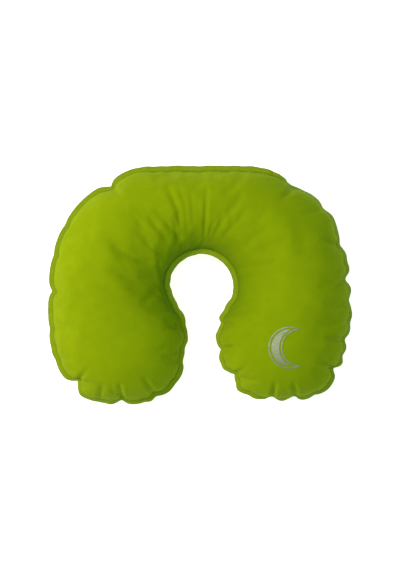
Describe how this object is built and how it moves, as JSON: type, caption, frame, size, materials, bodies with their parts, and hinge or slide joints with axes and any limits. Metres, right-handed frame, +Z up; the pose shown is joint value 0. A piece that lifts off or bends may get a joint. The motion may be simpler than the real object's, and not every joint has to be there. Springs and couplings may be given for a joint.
{
  "type": "inflatable neck pillow",
  "caption": "Inflatable U-shaped neck pillow of brushed fabric with a flat welded rim, a two-stage air valve and a small printed crescent.",
  "frame": {"origin": "on the plane the pillow lies on, under the middle of its outline", "axes": "+X across both arms, +Y from the arm tips to the back of the neck, +Z up out of the printed face"},
  "size_m": [0.44, 0.344, 0.108],
  "materials": {
    "face_fabric": "matt brushed knit, lime green",
    "welded_rim": "heat-pressed flat, slightly darker and smoother than the face",
    "air_film": "thin milky airtight film",
    "silver_ink": "thin silver-grey transfer ink",
    "valve_moulding": "fine moulded texture, dark grey",
    "cap_moulding": "soft matt moulding, near black",
    "soft_silicone": "translucent milky silicone"
  },
  "bodies": {
    "pillow": {"upper_face_panel": "face_fabric", "lower_face_panel": "face_fabric", "upper_air_film": "air_film", "lower_air_film": "air_film", "weld_seam": "welded_rim", "printed_mark": "silver_ink", "valve_base": "valve_moulding"},
    "plug": {"deflate_plug": "valve_moulding", "plug_seal_ring": "soft_silicone"},
    "flap": {"inflate_flap": "soft_silicone"},
    "cap": {"valve_cap": "cap_moulding"}
  },
  "joints": [
    {"name": "plug_pull", "type": "slide", "parent": "pillow", "child": "plug", "axis": [-0.6911, -0.0425, -0.7215], "range_m": [0, 0.01]},
    {"name": "cap_flip", "type": "hinge", "parent": "plug", "child": "cap", "pos_m": [-0.20101, -0.04578, 0.01827], "axis": [0.7201, 0.0443, -0.6924], "range_deg": [0, 130]},
    {"name": "flap_open", "type": "slide", "parent": "plug", "child": "flap", "axis": [0.6911, 0.0425, 0.7215], "range_m": [0, 0.001], "stiffness_N_per_m": 5}
  ]
}
